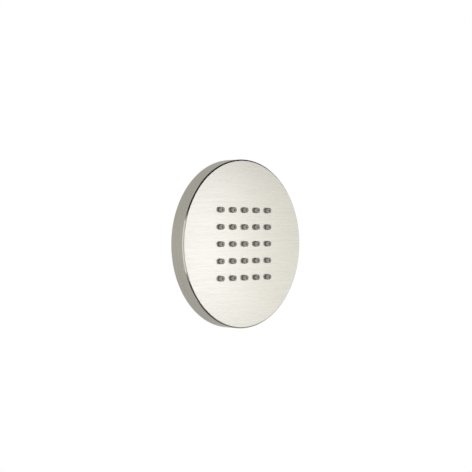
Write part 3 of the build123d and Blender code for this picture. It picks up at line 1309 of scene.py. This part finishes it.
@dataclass
class Inlet(SubAssembly):
    """The ball stem with its pipe thread, and the strainer and flow regulator inside its mouth."""

    thread_radius: float = 10.48 * MM
    thread_depth: float = 1.16 * MM
    thread_pitch: float = 1.814 * MM
    thread_turns: float = 4.4
    thread_start: float = 1.1 * MM
    thread_sunk: float = 0.08 * MM
    thread_root_share: float = 0.86
    wire_radius: float = 0.1 * MM
    wire_pitch: float = 0.8 * MM
    wire_sides: int = 6
    wire_steps: int = 5
    wire_crease: float = 50.0

    def thread(self) -> None:
        """Winds the pipe thread round the inside of the mouth, with its root sunk into the wall."""
        ridge = ScrewThread(
            side=ThreadSide.INSIDE,
            wall=self.thread_radius + self.thread_sunk,
            depth=self.thread_depth + self.thread_sunk,
            pitch=self.thread_pitch,
            turns=self.thread_turns,
            start=self.thread_start,
            root_share=self.thread_root_share,
        )
        empty = bpy.data.meshes.new("mouth")
        piece = ridge.build("inlet_thread", empty, self.finishes[Slot.BRIGHT_NICKEL])
        self.join_up(piece, Body.INLET, Slot.BRIGHT_NICKEL)

    def strainer_tree(self) -> PatternTree:
        """Builds the tree that weaves the strainer: wires laid one way, and the same wires turned to cross.

        Returns:
            The tree.
        """
        kinds = {
            "Radius": InputKind.NUMBER,
            "Pitch": InputKind.NUMBER,
            "Wire Radius": InputKind.NUMBER,
            "Wire Sides": InputKind.COUNT,
            "Steps": InputKind.COUNT,
            "Station": InputKind.NUMBER,
        }
        tree = PatternTree("woven_strainer", kinds)
        given = tree.given
        pitch = given["Pitch"]
        each_side = tree.math("FLOOR", tree.math("DIVIDE", given["Radius"], pitch))
        first = tree.math("MULTIPLY", tree.math("MULTIPLY", each_side, pitch), -1.0)
        values = {
            "Count": tree.math("ADD", tree.math("MULTIPLY", each_side, 2.0), 1.0),
            "Start Location": tree.vector(x=first),
            "Offset": tree.vector(x=pitch),
        }
        middles = tree.add("GeometryNodeMeshLine", values).outputs["Mesh"]
        place = tree.add("GeometryNodeInputPosition").outputs[0]
        x, _, z = tree.add("ShaderNodeSeparateXYZ", {0: place}).outputs
        radius_squared, x_squared = (tree.math("POWER", length, 2.0) for length in (given["Radius"], x))
        half_chord = tree.math("SQRT", tree.math("SUBTRACT", radius_squared, x_squared))
        values = {"Start": (0.0, 0.0, -1.0), "End": (0.0, 0.0, 1.0)}
        unit_wire = tree.add("GeometryNodeCurvePrimitiveLine", values).outputs[0]
        straight = tree.copies(middles, unit_wire, Scale=tree.vector(1.0, 1.0, half_chord))
        values = {"Curve": straight, "Length": tree.math("DIVIDE", pitch, given["Steps"])}
        stepped = tree.add("GeometryNodeResampleCurve", values, mode="LENGTH").outputs[0]
        phases = [tree.math("DIVIDE", tree.math("MULTIPLY", axis, math.pi), pitch) for axis in (x, z)]
        waves = [tree.math("COSINE", phase) for phase in phases]
        height = tree.math("MULTIPLY", given["Wire Radius"], tree.math("MULTIPLY", *waves))
        values = {"Geometry": stepped, "Offset": tree.vector(y=height)}
        waved = tree.add("GeometryNodeSetPosition", values).outputs[0]
        values = {"Resolution": given["Wire Sides"], "Radius": given["Wire Radius"]}
        section = tree.add("GeometryNodeCurvePrimitiveCircle", values).outputs["Curve"]
        values = {"Curve": waved, "Profile Curve": section, "Fill Caps": True}
        wires = tree.add("GeometryNodeCurveToMesh", values).outputs[0]
        forward = tree.vector(y=tree.math("MULTIPLY", given["Station"], -1.0))
        crossing = tree.turned(wires, (0.0, QUARTER_TURN, math.pi), forward)
        tree.finish([tree.turned(wires, (0.0, 0.0, 0.0), forward), crossing])
        return tree

    def strainer(self) -> None:
        """Weaves the strainer in place of the CAD disc."""
        rear, front = station_span("filter_screen")
        values = {
            "Radius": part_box("filter_screen")[1].x,
            "Pitch": self.wire_pitch,
            "Wire Radius": self.wire_radius,
            "Wire Sides": self.wire_sides,
            "Steps": self.wire_steps,
            "Station": (rear + front) / 2.0,
            "Finish": self.finishes[Slot.STAINLESS],
        }
        empty = bpy.data.meshes.new("loom")
        piece = self.strainer_tree().run("woven_strainer", empty, values, self.wire_crease)
        self.join_up(piece, Body.INLET, Slot.STAINLESS, "filter_screen")

    def build(self) -> None:
        """Makes the thread and the strainer, and dresses the inlet's CAD nodes."""
        self.dress(Slot.BRIGHT_NICKEL, "swivel_ball")
        self.dress(Slot.BLACK_RUBBER, "filter_washer", "regulator_ring")
        self.dress(Slot.GREEN_PLASTIC, "flow_regulator")
        self.thread()
        self.strainer()


# Studio


def aim(thing: bpy.types.Object, place: Vector, target: Vector) -> None:
    """Puts a lamp or camera somewhere and turns its -Z towards a target."""
    turn = (target - place).to_track_quat("-Z", "Y")
    thing.matrix_world = Matrix.Translation(place) @ turn.to_matrix().to_4x4()


def direction(azimuth: float, elevation: float) -> Vector:
    """The way out from the face, in degrees right of straight ahead and above the horizon."""
    turn, rise = math.radians(azimuth), math.radians(elevation)
    return Vector((math.sin(turn) * math.cos(rise), -math.cos(turn) * math.cos(rise), math.sin(rise)))


def blank_graph(holder: bpy.types.Material | bpy.types.World) -> NodeGraph:
    """Gives a material or a world an empty node tree.

    Args:
        holder: The material or world.

    Returns:
        The tree.
    """
    holder.use_nodes = True
    holder.node_tree.nodes.clear()
    return NodeGraph(holder.node_tree)


@dataclass(frozen=True)
class Lamp:
    """A soft square lamp that faces the jet."""

    name: str
    azimuth: float
    elevation: float
    watts: float
    distance: float = 1.2
    side: float = 1.0


@dataclass(frozen=True)
class Panel:
    """A curved card round the jet that only reflections see, from one angle to another each way."""

    name: str
    azimuths: Span
    elevations: Span
    distance: float
    level: float
    colour: Colour = (1.0, 1.0, 1.0)


@dataclass
class Studio:
    """The floor, light and camera."""

    azimuth: float = -46.34
    elevation: float = 0.55
    distance: float = 710.0 * MM
    lens: float = 91.43
    shift: Span = (-0.01784, 0.0168)
    fill: float = 0.22
    floor_drop: float = 450.0 * MM
    floor_radius: float = 1200.0 * MM
    floor_fade: Span = (450.0 * MM, 1050.0 * MM)
    floor_colour: Colour = (0.86, 0.86, 0.855)
    floor_steps: int = 96
    panel_steps: int = 24
    lamps: tuple[Lamp, ...] = (
        Lamp("key_lamp", azimuth=-50.0, elevation=4.0, watts=27.0),
        Lamp("rear_lamp", azimuth=165.0, elevation=50.0, watts=25.0),
    )
    # Each panel's azimuths, elevations, distance, level and any tint
    panels: tuple[Panel, ...] = (
        Panel("front_white", (33.0, 46.0), (-17.5, 8.0), 0.9, 2.17, (0.95, 0.96, 1.06)),
        Panel("front_soft", (-9.0, 9.0), (-14.0, 13.0), 0.39, 1.3),
        Panel("front_left_grey", (-25.0, -9.0), (-15.0, 15.0), 0.42, 0.04),
        Panel("front_right_grey", (9.0, 33.0), (-15.0, 15.0), 0.42, 0.06),
        Panel("floor_soft", (-9.0, 9.0), (-54.0, -36.0), 0.39, 0.38),
        Panel("lower_right_soft", (26.0, 62.0), (-48.0, -20.0), 0.39, 0.6),
        Panel("lower_left_soft", (-32.0, -9.0), (-29.0, -15.0), 0.39, 0.5),
        Panel("lower_middle_soft", (-9.0, 26.0), (-48.0, -14.0), 0.395, 0.16),
        Panel("upper_front_dark", (-25.0, 45.0), (15.0, 68.0), 0.4, 0.02),
        Panel("lower_front_dark", (-25.0, 45.0), (-68.0, -15.0), 0.4, 0.02),
        Panel("upper_left_dark", (-106.0, -25.0), (26.0, 68.0), 0.4, 0.02),
        Panel("lower_left_dark", (-106.0, -25.0), (-68.0, -31.0), 0.4, 0.02),
        Panel("upper_right_dark", (45.0, 78.0), (14.0, 68.0), 0.4, 0.02),
        Panel("lower_right_dark", (45.0, 78.0), (-68.0, -20.0), 0.4, 0.08),
        Panel("upper_side_dark", (78.0, 122.0), (28.0, 68.0), 0.4, 0.1),
        Panel("lower_side_dark", (78.0, 122.0), (-68.0, -32.0), 0.4, 0.16),
        Panel("rear_grey", (112.0, 244.0), (-68.0, 68.0), 0.42, 0.53),
        Panel("rear_white", (122.0, 186.0), (-22.0, 4.0), 0.4, 1.3),
        Panel("upper_cap", (-180.0, 180.0), (66.0, 90.0), 0.38, 0.02),
        Panel("lower_cap", (-180.0, 180.0), (-90.0, -66.0), 0.38, 0.02),
    )

    def camera(self, target: Vector) -> None:
        """Sets the camera where the photograph was taken from.

        Args:
            target: The middle of the face.
        """
        data = bpy.data.cameras.new("camera")
        data.lens = self.lens
        data.shift_x, data.shift_y = self.shift
        camera = placed("camera", data)
        aim(camera, target + self.distance * direction(self.azimuth, self.elevation), target)
        bpy.context.scene.camera = camera

    def seen(self, graph: NodeGraph) -> Socket:
        """Tells what the camera sees from light that falls on things.

        Args:
            graph: The tree that asks.

        Returns:
            1 for what the camera sees, straight or in metal or glass, and 0 for other light.
        """
        path = graph.add("ShaderNodeLightPath").outputs
        mirrored = graph.math("MAXIMUM", path["Is Glossy Ray"], path["Is Transmission Ray"])
        return graph.math("MAXIMUM", path["Is Camera Ray"], mirrored)

    def surroundings(self) -> None:
        """A white surround that lights the object at a plain level."""
        world = bpy.data.worlds.new("surround")
        bpy.context.scene.world = world
        graph = blank_graph(world)
        level = graph.span(self.seen(graph), (0.0, self.fill), (1.0, 1.0))
        white = graph.add("ShaderNodeBackground", {"Color": WHITE, "Strength": level})
        graph.add("ShaderNodeOutputWorld", {"Surface": white.outputs[0]})

    def floor(self) -> None:
        """A pale round floor that fades into the surround."""
        form = bmesh.new()
        bmesh.ops.create_circle(form, cap_ends=True, radius=self.floor_radius, segments=self.floor_steps)
        mesh = settled("floor", form)
        mesh.transform(Matrix.Translation((0.0, 0.0, -self.floor_drop)))
        material = bpy.data.materials.new("pale_floor")
        graph = blank_graph(material)
        place = graph.add("ShaderNodeTexCoord").outputs["Object"]
        x, y, _ = graph.add("ShaderNodeSeparateXYZ", {0: place}).outputs
        near, far = self.floor_fade
        out = graph.span(graph.length(graph.vector(x, y)), (near, 0.0), (far, 1.0), smooth=True)
        fade = graph.math("MULTIPLY", out, self.seen(graph))
        pale = graph.add("ShaderNodeBsdfDiffuse", {"Color": (*self.floor_colour, 1.0)}).outputs[0]
        white = graph.add("ShaderNodeEmission", {"Color": WHITE, "Strength": 1.0}).outputs[0]
        mixed = graph.add("ShaderNodeMixShader", {0: fade, 1: pale, 2: white}).outputs[0]
        graph.add("ShaderNodeOutputMaterial", {"Surface": mixed})
        mesh.materials.append(material)
        placed("floor", mesh)

    def lamp(self, lamp: Lamp, target: Vector) -> None:
        """Adds a lamp that lights matt surfaces and isn't mirrored in the metal.

        Args:
            lamp: Its place, size and strength.
            target: What it faces.
        """
        data = bpy.data.lights.new(lamp.name, "AREA")
        data.size = lamp.side
        data.energy = lamp.watts
        thing = placed(lamp.name, data)
        thing.visible_glossy = False
        aim(thing, target + lamp.distance * direction(lamp.azimuth, lamp.elevation), target)

    def panel(self, panel: Panel, target: Vector) -> None:
        """Adds a panel that shows only in reflections.

        Args:
            panel: Its place and brightness.
            target: What it is curved round.
        """
        form = bmesh.new()
        steps = self.panel_steps
        azimuths = [step_along(panel.azimuths, step, steps) for step in range(steps + 1)]
        elevations = [step_along(panel.elevations, step, steps) for step in range(steps + 1)]
        rows = []
        for elevation in elevations:
            ways = [direction(azimuth, elevation) for azimuth in azimuths]
            rows.append([form.verts.new(target + panel.distance * way) for way in ways])
        bridge(form, rows, closed=False)
        mesh = settled(panel.name, form)
        material = bpy.data.materials.new(panel.name)
        graph = blank_graph(material)
        values = {"Color": (*panel.colour, 1.0), "Strength": panel.level}
        light = graph.add("ShaderNodeEmission", values).outputs[0]
        graph.add("ShaderNodeOutputMaterial", {"Surface": light})
        mesh.materials.append(material)
        sheet = placed(panel.name, mesh)
        sheet.visible_camera = False
        sheet.visible_diffuse = False
        sheet.visible_shadow = False

    def build(self, target: Vector) -> None:
        """Sets the studio up round the face.

        Args:
            target: The middle of the face.
        """
        bpy.context.scene.view_settings.view_transform = "Standard"
        self.camera(target)
        self.surroundings()
        self.floor()
        for lamp in self.lamps:
            self.lamp(lamp, target)
        for panel in self.panels:
            self.panel(panel, target)


# The whole


def make_finishes(face_plane: float, face_radius: float) -> dict[Slot, bpy.types.Material]:
    """Builds one material for each slot.

    Args:
        face_plane: Where the front of the face lies along Y.
        face_radius: The face's radius.

    Returns:
        The materials, by slot.
    """
    finishes = {
        Slot.BRUSHED_NICKEL: BrushedNickel(face_plane, face_radius, FaceCup.edge_round),
        Slot.SATIN_NICKEL: TurnedMetal(colour=(0.7, 0.675, 0.6), roughness=0.3),
        Slot.BRIGHT_NICKEL: TurnedMetal(colour=(0.74, 0.72, 0.66), roughness=0.14),
        Slot.STAINLESS: DrawnSteel(colour=(0.56, 0.55, 0.53), roughness=0.3),
        # The silicone gets painted shade at the nozzles' feet, on the face plane
        Slot.GREY_SILICONE: Moulding(colour=(0.165, 0.16, 0.142), roughness=0.5, foot=face_plane),
        Slot.BLACK_RUBBER: Moulding(colour=(0.025, 0.025, 0.026), roughness=0.55, contrast=0.25),
        Slot.WHITE_ACETAL: Moulding(colour=(0.8, 0.795, 0.77), roughness=0.38, contrast=0.03),
        Slot.GREEN_PLASTIC: Moulding(colour=(0.03, 0.3, 0.1), roughness=0.35),
    }
    return {slot: finish.material(slot.value) for slot, finish in finishes.items()}


def main() -> None:
    """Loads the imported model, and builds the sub-assemblies and the studio."""
    logging.basicConfig(level=logging.INFO, format="%(message)s")
    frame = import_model()
    face_front = station_span("face_cover")[1]
    finishes = make_finishes(-face_front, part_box("face_cover")[1].x)
    for kind in (FaceCup, BackCover, NozzleField, WaterChamber, SwivelJoint, Inlet):
        kind(frame["nodes"], finishes).build()
    Studio().build(Vector((0.0, -face_front, 0.0)))


if __name__ == "__main__":
    main()
